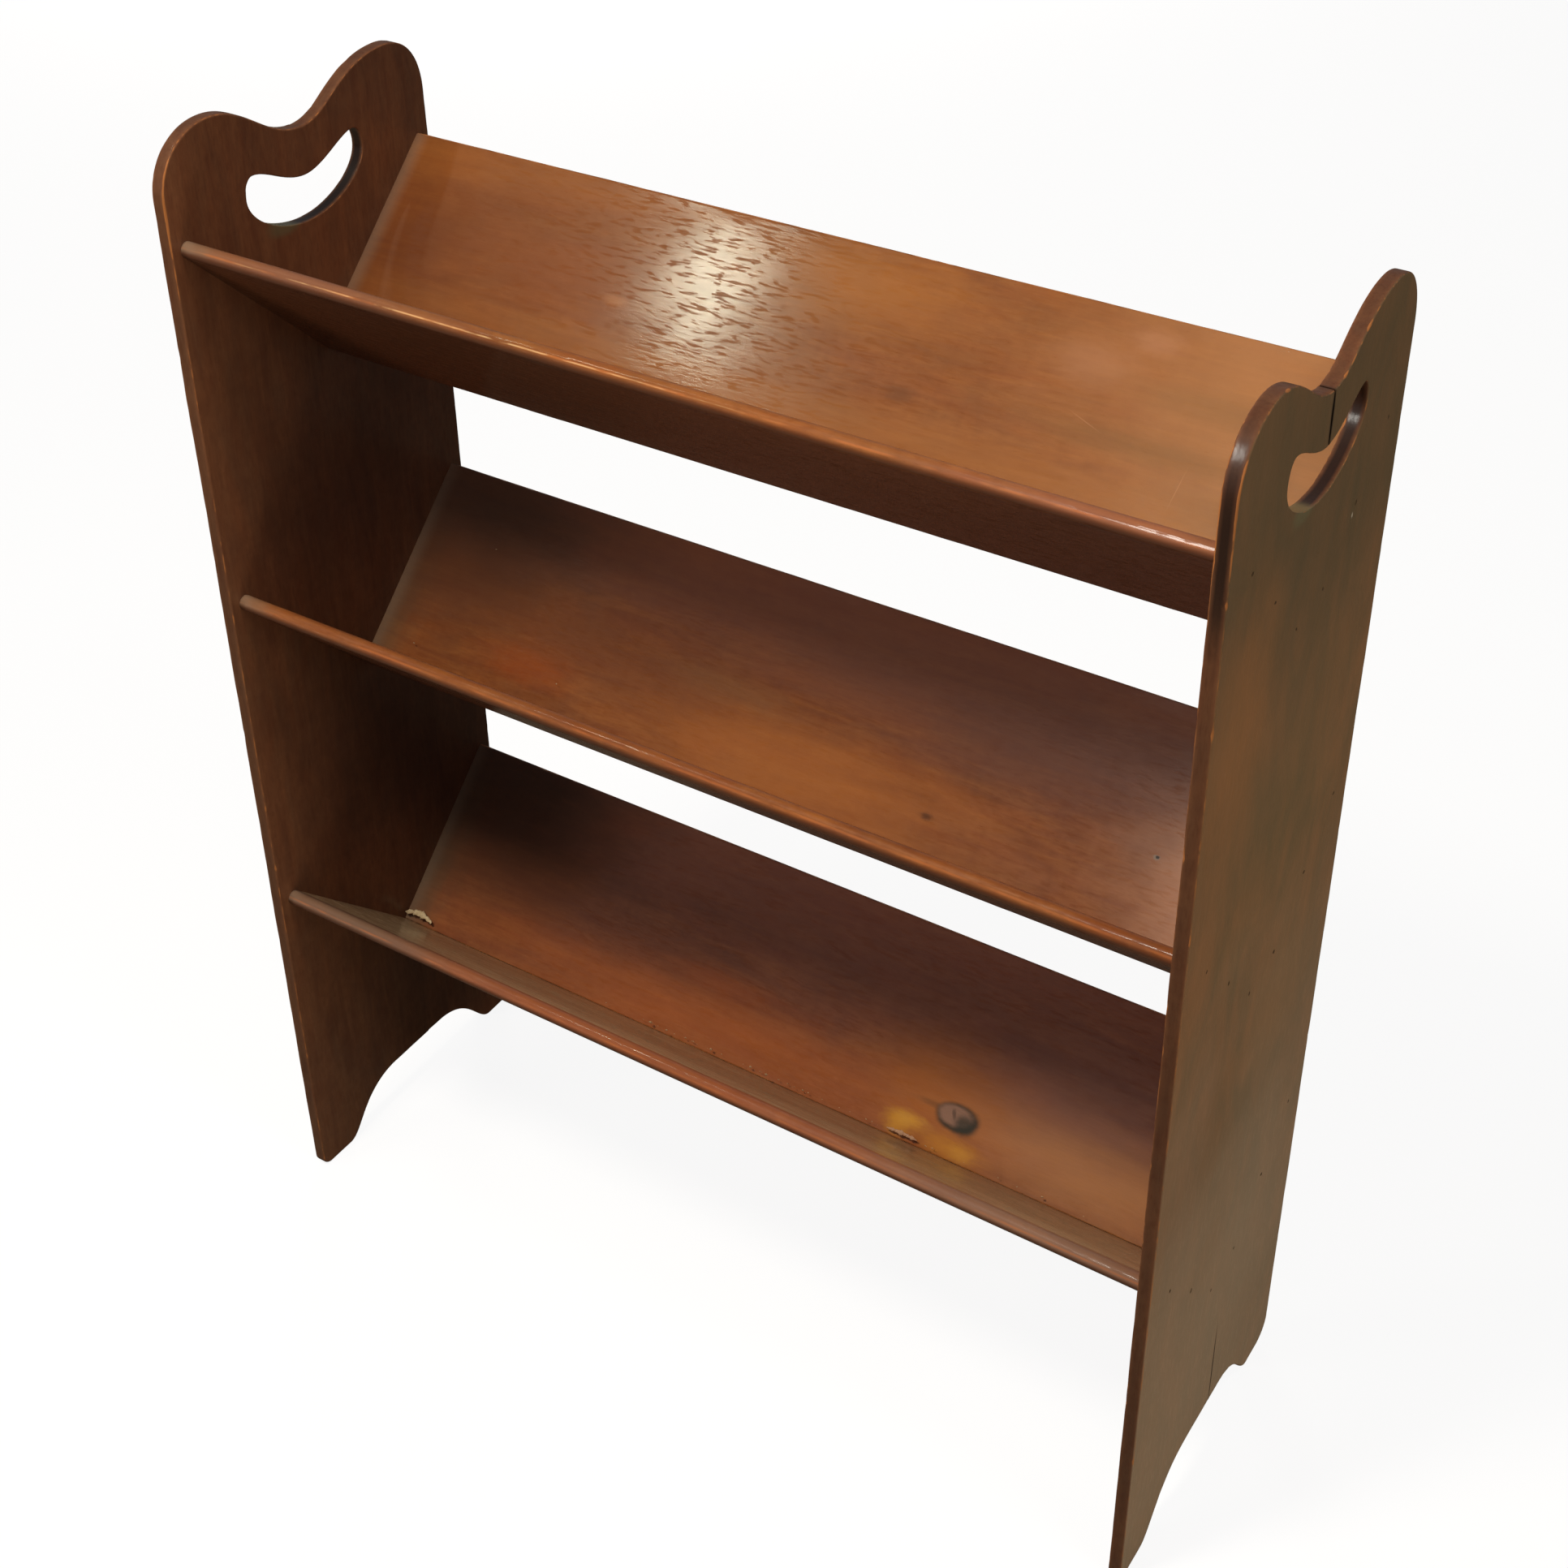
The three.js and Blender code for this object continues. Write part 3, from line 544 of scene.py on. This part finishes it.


# The stains on each board, with painted light and shade among them: (along, up from the crease) of the
# middle, half sizes in mm, tone, strength. Dust has settled in the corners at the left ends, and on the
# bottom trough's front board.
BACK_STAINS_AND_PAINTED_LIGHT = {
    # Top: the first two marks are painted shade at the left end, where the left end shades the board.
    "top": (((-340, 80), (70, 120), "#5e3320", 0.5), ((-334, 72), (34, 30), "#4f2a1c", 0.4),
            ((-240, 150), (150, 14), "#a0622c", 0.5), ((30, 132), (60, 24), "#b06e2c", 0.6),
            ((-20, 60), (60, 30), "#7d4a2c", 0.35), ((-190, 84), (60, 22), "#8f4a1e", 0.4),
            ((-60, 100), (90, 60), "#7b5a38", 0.3), ((197, 121), (24, 12), "#ad7a5c", 0.5),
            # The mark at (345, 90) is a painted pink sheen at the right end.
            ((232, 144), (14, 7), "#b58064", 0.5), ((345, 90), (110, 150), "#bd8a5c", 0.6),
            ((60, 40), (330, 14), "#a46a34", 0.5), ((-151, 78), (8, 3.5), "#c98448", 0.45),
            ((80, 69), (9, 5), "#553420", 0.45), ((250, 120), (150, 60), "#a56c3c", 0.3),
            ((250, 76), (80, 7), "#7d5a34", 0.45), ((300, 112), (60, 8), "#86623c", 0.4),
            ((325, 48), (50, 12), "#7f5c38", 0.4), ((-230, 100), (120, 50), "#7a4522", 0.5),
            ((-60, 90), (240, 130), "#713d1c", 0.2)),
    # Middle: the first mark is painted plum-grey fill light along the top, where the trough above shades the
    # board; the second is painted shade in the top left corner.
    "middle": (((0, 150), (460, 50), "#94604e", 0.6), ((-310, 140), (100, 34), "#54483c", 0.6),
               ((-228, 32), (36, 12), "#b0541f", 0.5), ((-366, 45), (20, 60), "#665c48", 0.5),
               # Painted shade at the left, where the left end shades the board.
               ((-310, 80), (80, 46), "#5c3826", 0.8),
               ((-65, 65), (50, 9), "#9a7048", 0.4), ((20, 26), (120, 30), "#b87034", 0.6),
               # Painted shade at the left at (-150, 60), and painted plum fill light in the shaded band at
               # (210, 95).
               ((-150, 60), (110, 24), "#74442a", 0.6), ((210, 95), (120, 26), "#7a5144", 0.55),
               ((123, 29), (4, 2.2), "#3a2216", 0.7), ((287, 57), (22, 16), "#5c3c32", 0.5),
               # A painted pink sheen at the right end.
               ((345, 50), (60, 50), "#cf9876", 0.65)),
    # Bottom: the first mark is painted plum-grey fill light along the top, where the trough above shades the
    # board; the second is painted shade in the top left corner.
    "bottom": (((0, 150), (460, 62), "#8c5a4a", 0.6), ((-320, 145), (100, 42), "#4c463c", 0.65),
               # Painted shade at the left at (-300, 84), where the left end shades the board.
               ((-368, 50), (22, 70), "#6c6550", 0.6), ((-300, 84), (90, 50), "#5a3826", 0.65),
               # Painted shade at the left at (-170, 60).
               ((-60, 22), (190, 26), "#b4622c", 0.55), ((-170, 60), (110, 22), "#6c4030", 0.65),
               ((-62, 55), (44, 8), "#a0542e", 0.5),
               # A painted pink sheen at the right end at (250, 62).
               ((150, 44), (60, 32), "#bc7030", 0.7), ((250, 62), (70, 40), "#ad7c6c", 0.5),
               # A painted sheen at the right end at (290, 30).
               ((290, 30), (110, 26), "#c98c58", 0.65), ((113, 11), (10, 7), "#d89a34", 0.8),
               ((120, 17), (13, 4.5), "#e0a440", 0.75), ((157, 9), (22, 7), "#cc8830", 0.75),
               ((168, 8), (9, 5), "#d89a3c", 0.6)),
}
FRONT_STAINS = {
    "top": (((330, 164), (90, 10), "#9a6350", 0.4), ((-300, 165), (110, 12), "#7c5544", 0.6),
            ((-365, 165), (20, 9), "#7d6a55", 0.5)),
    "middle": (((-365, 165), (20, 9), "#7d6a55", 0.5),),
    "bottom": (((-80, 167), (300, 12), "#9c5732", 0.5), ((300, 167), (130, 12), "#8e7664", 0.6),
               ((-330, 165), (110, 14), "#6a5b4c", 0.75)),
}
# The dust on the bottom front board, in three layers: tone, strength, and patch length or 0 for a whole one.
DUST = (("#ab9170", 0.78, 0), ("#c4ab84", 0.3, 110), ("#6a4f36", 0.22, 50))
TROUGH_TONES = {
    "top": ("#6a3716", "#914c1e", "#aa6a30", "#7a5a3a"),
    "middle": ("#6b361a", "#945028", "#ad6c34", "#74523c"),
    "bottom": ("#6c3824", "#a05a3c", "#b87444", "#785644"),
}
for number, tier in enumerate(TIERS):
    low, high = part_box(f"{tier}_trough_front_board")
    _, back_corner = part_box(f"{tier}_trough_back_board")
    nose = np.array([low.y, high.z]) + BOARD_THICKNESS / 2 * np.array([1, -1])
    down, rise = direction(-FRONT_SLOPE), direction(BACK_SLOPE)
    out_front, out_back = direction(np.pi / 2 - FRONT_SLOPE), direction(np.pi / 2 + BACK_SLOPE)
    back_outer = np.array([back_corner.y, back_corner.z - BOARD_THICKNESS * np.cos(BACK_SLOPE)])
    back_inner = back_outer + out_back * BOARD_THICKNESS
    face, under = nose + out_front * BOARD_THICKNESS / 2, nose - out_front * BOARD_THICKNESS / 2
    crease = meet(face, down, back_inner, rise)
    shelf, keel = meet(face, down, back_outer, rise), meet(under, down, back_outer, rise)
    tip = BOARD_THICKNESS / 2 * down

    front = trough_board(f"{tier}_front_board", [face - tip, under - tip, keel, shelf],
                         FRONT_RADII, crease, -down, 100 + number)
    back = trough_board(f"{tier}_back_board", [crease, shelf, back_outer, back_inner],
                        BACK_RADII, crease, rise, 200 + number)
    for board, piece, stains_and_light in (("front", front, FRONT_STAINS), ("back", back, BACK_STAINS_AND_PAINTED_LIGHT)):
        wood = stained_wood(f"stained_trough_board_{tier}_{board}", 300 + 10 * number + len(board),
                            *TROUGH_TONES[tier])
        # Stains, with painted light and shade, on each board.
        for mark in stains_and_light[tier]:
            stain(wood, *mark)
        stain(wood, (-370, 80), (8, 400), "#9a8672", 0.35, wobble=0.1)
        if board == "front":
            # A thin broken dark line along the crease. The underside and the lower part of the nose are
            # painted almost black-brown: painted shade under the nose. Between them and the nose's top runs a
            # broken orange line where the stain has rubbed off, which is also a painted highlight along the
            # nose.
            stain(wood, (0, 0), (600, 1.1), "#2b1a10", 0.8, fade=0.7, wobble=0.1, broken=90)
            # Painted shade on the underside and the lower part of the nose.
            stain(wood, (0, 80, 14), (2000, 2000, 5.5), "#56301f", 0.85, fade=0.3, wobble=0.05)
            # The worn line along the nose, which is also a painted highlight.
            stain(wood, (0, 168, 6.6), (2000, 9, 0.7), "#c4723a", 0.4, fade=0.6, wobble=0.03, broken=30)
            if tier == "bottom":
                for tone, strength, gaps in DUST:
                    stain(wood, (0, 78), (2000, 80), tone, strength, fade=0.03, wobble=0.02, broken=gaps)
                stain(wood, (0, 157), (2000, 0.7), "#4c1f12", 0.8, fade=0.9, wobble=0.05)
            # On the top trough, pale flecks in that line are painted glints of the highlight.
            if tier == "top":
                stain(wood, (-130, 168, 6.6), (170, 9, 0.45), "#e6bd88", 0.6, fade=0.6, wobble=0.03,
                      broken=16)
        elif tier == "top":
            stain(wood, (277, 58), (10, 0.3), "#c48e66", 0.4, wobble=0.1, turn=84)
            stain(wood, (205, 84), (9, 0.3), "#c48e66", 0.3, wobble=0.1, turn=-20)
        elif tier == "middle":
            stain(wood, (287, 57), (2.4, 1.6), "#8d8478", 0.7, fade=0.4)
            stain(wood, (287.6, 57.4), (1.4, 1), "#1c130e", 0.9, fade=0.4)
        else:
            # The knot: an oval of end grain, pinkish in a thin grey-green rim and darker at its lower right.
            stain(wood, (134, 35), (11, 2), "#4b3a2a", 0.4)
            stain(wood, (155.6, 32), (18, 10.5), "#33342c", 0.9, fade=0.2, wobble=0.12)
            stain(wood, (153.6, 33), (14.2, 7.6), "#a67e6a", 0.85, fade=0.25, wobble=0.18)
            stain(wood, (163, 28.5), (8, 7), "#33362f", 0.8, fade=0.6, wobble=0.3)
            stain(wood, (152, 34), (1.5, 3.5), "#4b3a30", 0.6, fade=0.6, turn=25)
        worn_edges(wood, "#c07a42", 0.75)
        piece.data.materials.append(polished(wood, 0.75, 0.14))
        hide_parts(f"{tier}_trough_{board}_board")
        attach(piece, "root")

# The nails, mild steel gone brown. They are driven below the surface, so almost nothing of them shows. Rust
# spots about a millimetre wide make the steel browner and duller.


def speckled(name, per_metre, detail, deep, pale, dull, relief, **sockets):
    """A material of two tones: noise with so many speckles to the metre sets the tone, the roughness from the
    first to the last of dull, and a bump with the strength and the depth in relief."""
    material = bpy.data.materials.new(name)
    tree = emptied(material)
    place = add_node(tree, "TexCoord").outputs["Object"]
    spots = add_node(tree, "TexNoise", {"Vector": place, "Scale": per_metre, "Detail": detail}).outputs["Fac"]
    tone = add_node(tree, "MixRGB", {"Fac": spots, "Color1": linear(deep), "Color2": linear(pale)})
    rough = add_node(tree, "MapRange", {"Value": spots, "To Min": dull[0], "To Max": dull[1]})
    bumps = add_node(tree, "Bump", {"Height": spots, "Strength": relief[0], "Distance": relief[1]})
    shader = add_node(tree, "BsdfPrincipled", {"Base Color": tone.outputs[0], "Roughness": rough.outputs[0],
                                               "Normal": bumps.outputs[0], **sockets})
    add_node(tree, "OutputMaterial", {"Surface": shader.outputs[0]})
    return material


nail_steel = speckled("rusted_nail_steel", 900.0, 3.0, "#3a3431", "#5b3a26", (0.45, 0.75), (0.4, 0.1 * MM),
                      Metallic=0.6)
for name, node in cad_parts.items():
    if "_nail_" in name:
        node.data.materials.clear()
        node.data.materials.append(nail_steel)

# The wax that fills the holes over the end nails: small dark plugs, almost flush, slightly domed and not
# quite round. One mesh for each end. Wax has an IOR near 1.44 and takes a dull shine where it was rubbed.
PLUG_RADIUS, PLUG_DOME, PLUG_ROOT = 1.9 * MM, 0.05 * MM, 0.3 * MM
for side_name, side in (("right", 1), ("left", -1)):
    nails = [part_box(f"{side_name}_{tier}_{board}_nail_{k}")
             for tier in TIERS for board in ("front", "back") for k in (1, 2, 3)]
    middles = np.array([(low + high) / 2 for low, high in nails])[:, 1:, None, None]
    draw = np.random.default_rng(7)
    angles = np.linspace(0, 2 * np.pi, 14, endpoint=False)
    shares = np.linspace(1, 0.25, 4)[:, None]
    lumpy = 1 + 0.18 * np.sin(2 * angles + draw.uniform(0, 6, (len(nails), 1, 1)))
    reach = PLUG_RADIUS * draw.uniform(0.8, 1.2, (len(nails), 1, 1)) * shares * lumpy
    # Each plug is a dome: FACE_X + dome (1 - share^2), with its outermost ring sunk below the face.
    x = side * (FACE_X + PLUG_DOME * (1 - shares ** 2) - PLUG_ROOT * (shares == 1)) + 0 * reach
    rings = np.stack([x, middles[:, 0] + reach * np.cos(angles), middles[:, 1] + reach * np.sin(angles)], -1)
    plugs = skin(f"{side_name}_nail_wax", rings, flip=side < 0)
    plugs.data.materials.append(speckled(f"brown_filler_wax_{side_name}", 700.0, 2.0, "#2e2014", "#5a452d",
                                         (0.35, 0.6), (0.5, 0.1 * MM), IOR=1.44))
    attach(plugs, "root")

# Old glue that was squeezed out of the bottom trough's joint and has dried pale: a crescent at the left end,
# a crumbly bead near the right, and crumbs along the crease, with a few specks of it on the boards.
# Dried hide glue has an IOR near 1.5, and its crust is chalky in lumps of 2 to 3 mm.
FRONT_FACE, BACK_FACE = -direction(-FRONT_SLOPE), direction(BACK_SLOPE)
CREASE_Y, CREASE_DROP = 1.81 * MM, 109.37 * MM  # the drop is from the top of the nose


def in_trough(tier, along, up_front, up_back):
    """Points in a trough, from distances in mm along it and up its two inner faces from the crease."""
    foot = np.array([CREASE_Y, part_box(f"{tier}_trough_front_board")[1].z - CREASE_DROP])
    up_front, up_back = np.asarray(up_front)[..., None], np.asarray(up_back)[..., None]
    point = foot + MM * (up_front * FRONT_FACE + up_back * BACK_FACE)
    return np.concatenate([MM * np.asarray(along, float)[..., None] + 0 * point[..., :1], point], -1)


def glue_bead(name, start, stop, thick, bow, seed):
    """A bead along the crease: rings of radius thick sqrt(sin(pi t)), uneven by a third, whose middles bow up
    the back board by bow sin(pi t) and rest against both boards."""
    t = np.linspace(0.004, 0.996, 44)[:, None]
    angles = np.linspace(0, 2 * np.pi, 12, endpoint=False)
    rough = 1 + 0.3 * ripple(t + 0.02 * np.sin(angles), seed, 0.4, 0.04)
    radius = thick * np.sqrt(np.sin(np.pi * t)) * rough
    up_back = 0.55 * thick + bow * np.sin(np.pi * t) + radius * np.cos(angles)
    up_front = 0.45 * thick + 0.6 * radius * np.sin(-angles)
    along = start + (stop - start) * t + 0 * angles
    return skin(name, in_trough("bottom", along, up_front, up_back)[None])


def crumbs(name, tier, places, sizes, seed):
    """Lumps at places (along, up the front face, up the back face): spheres of a few rings whose every point
    is moved in or out by up to a third."""
    draw = np.random.default_rng(seed)
    polar = np.linspace(0.25, np.pi - 0.25, 5)[:, None]
    angles = np.linspace(0, 2 * np.pi, 8, endpoint=False)
    radius = np.array(sizes)[:, None, None] * draw.uniform(0.66, 1.15, (len(sizes), 5, 8))
    ball = np.stack([-np.cos(polar) + 0 * angles, np.sin(polar) * np.sin(-angles),
                     np.sin(polar) * np.cos(angles)], -1)
    spots = np.array(places)[:, None, None, :] + radius[..., None] * ball * [1.3, 0.8, 0.8]
    return skin(name, in_trough(tier, spots[..., 0], spots[..., 1], spots[..., 2]))


draw = np.random.default_rng(5)
LARGE_CRUMBS = [-111, -94, -78, -53, -16, 2, 32, 240]
NEAR, FAR = 26, 10  # small crumbs near the middle and to the right
scattered = np.concatenate([LARGE_CRUMBS, draw.normal(0, 90, NEAR), draw.uniform(90, 350, FAR)])
sizes = np.concatenate([draw.uniform(0.7, 1.2, len(LARGE_CRUMBS)), draw.uniform(0.25, 0.6, NEAR + FAR)])
lying = np.stack([scattered, 0.7 * sizes + draw.uniform(0, 1, len(sizes)) ** 3 * 9, 0.7 * sizes], 1)
glue_pieces = [
    (glue_bead("glue_crescent", -369, -340, 2.6, 3.2, 31), "#ead9b6", "#c9ad80"),
    (glue_bead("glue_bead", 107, 134, 1.5, 0.6, 32), "#d3ad8e", "#a8785c"),
    (crumbs("glue_crumbs", "bottom", lying, sizes, 33), "#cfb08c", "#9d7a58"),
    (crumbs("specks", "middle", [(-294, 0.1, 103), (-330, 0.1, 12), (-195, 0.1, 21)], [0.6, 0.7, 0.6], 34),
     "#c9b190", "#a58c6c"),
]
for piece, pale, deep in glue_pieces:
    piece.data.materials.append(speckled(f"dried_hide_{piece.name}", 380.0, 4.0, deep, pale,
                                         (0.45, 0.75), (0.7, 0.4 * MM), IOR=1.5))
    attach(piece, "root")

# The room: a plain pale floor, soft lamps high and low round the object, and weak light from all round. Two
# small lamps show in the polish: one lies on the top trough, the other on the edge of the right front lobe.
HALF_FLOOR = 7.0
floor_mesh = bpy.data.meshes.new("floor")
floor_mesh.from_pydata([(-HALF_FLOOR, -HALF_FLOOR, 0), (HALF_FLOOR, -HALF_FLOOR, 0),
                        (HALF_FLOOR, HALF_FLOOR, 0), (-HALF_FLOOR, HALF_FLOOR, 0)], [], [(0, 1, 2, 3)])
floor = bpy.data.objects.new("floor", floor_mesh)
bpy.context.scene.collection.objects.link(floor)
floor_paint = bpy.data.materials.new("pale_floor")
tree = emptied(floor_paint)
seen = add_node(tree, "LightPath").outputs["Is Camera Ray"]
plain = add_node(tree, "BsdfDiffuse", {"Color": linear("#6b665a")})
matt = add_node(tree, "BsdfDiffuse", {"Color": linear("#6c6c6c")})
glow = add_node(tree, "Emission", {"Color": (1, 1, 1, 1), "Strength": 0.9})
lifted = add_node(tree, "AddShader", {0: matt.outputs[0], 1: glow.outputs[0]})
choice = add_node(tree, "MixShader", {0: seen, 1: plain.outputs[0], 2: lifted.outputs[0]})
add_node(tree, "OutputMaterial", {"Surface": choice.outputs[0]})
floor_mesh.materials.append(floor_paint)

world = bpy.data.worlds.new("room")
bpy.context.scene.world = world
tree = emptied(world)
seen = add_node(tree, "LightPath").outputs["Is Camera Ray"]
air = add_node(tree, "Background", {"Color": linear("#d2d4d8"), "Strength": 0.19})
white = add_node(tree, "Background", {"Color": (1, 1, 1, 1), "Strength": 1.0})
choice = add_node(tree, "MixShader", {0: seen, 1: air.outputs[0], 2: white.outputs[0]})
add_node(tree, "OutputWorld", {"Surface": choice.outputs[0]})


def lamp(name, place, aim, size, watts, colour, upward=(0, 0, 1)):
    """An oval lamp at a place, turned to look at the aim, with the second of its sizes along upward."""
    data = bpy.data.lights.new(name, "AREA")
    data.shape, data.size, data.size_y = "ELLIPSE", size[0], size[1]
    data.energy, data.color = watts, linear(colour)[:3]
    light = bpy.data.objects.new(name, data)
    back = (Vector(place) - Vector(aim)).normalized()
    right = Vector(upward).cross(back).normalized()
    light.location = place
    light.rotation_euler = Matrix([right, back.cross(right), back]).transposed().to_euler()
    bpy.context.scene.collection.objects.link(light)
    return light


lamps = [
    lamp("main_lamp", (-0.37, -1.08, 2.48), (0, 0, 0.6), (0.42, 0.42), 31, "#fff3e0"),
    lamp("right_lamp", (1.0, -0.3, 2.4), (0, 0, 0.6), (0.4, 0.4), 8, "#fff3e6"),
    lamp("front_lamp", (-1.8, -2.3, 0.8), (0, 0, 0.5), (1.2, 1.2), 22, "#fff2ea"),
    lamp("side_lamp", (2.4, -0.25, 0.1), (0.38, 0, 0.35), (0.5, 0.5), 24, "#fff4e6"),
    lamp("back_lamp", (-3.0, 3.7, 0.5), (0, 0, 0.45), (1.4, 1.4), 105, "#fff4ea"),
    lamp("small_lamp", (-1.111, -0.691, 2.341), (-0.082, 0.067, 0.802), (0.055, 0.26), 2.6, "#f4f6dc",
         upward=(0.127, 0.843, 0.522)),
    lamp("edge_lamp", (0.123, -0.56, 1.36), (0.39, -0.15, 0.84), (0.09, 0.26), 1.4, "#fffaf0",
         upward=(0, 0.85, 0.52)),
]
for light in lamps:
    light.visible_glossy = light.name in ("small_lamp", "edge_lamp")
    light.visible_camera = False

# The camera, where the photograph was taken from: a little over head height for the object, at its right
# front, looking down. Its place and turns come from fitting the object's edges and corners.
camera_data = bpy.data.cameras.new("camera")
camera_data.sensor_width = 36
camera_data.lens = 53.34
camera_data.shift_x, camera_data.shift_y = -0.0003, -0.1153
camera = bpy.data.objects.new("camera", camera_data)
camera.location = (0.73491, -1.10170, 1.48675)
camera.rotation_euler = np.radians([57.063, 0.682, 32.440])
bpy.context.scene.collection.objects.link(camera)
bpy.context.scene.camera = camera
bpy.context.scene.view_settings.view_transform = "Standard"
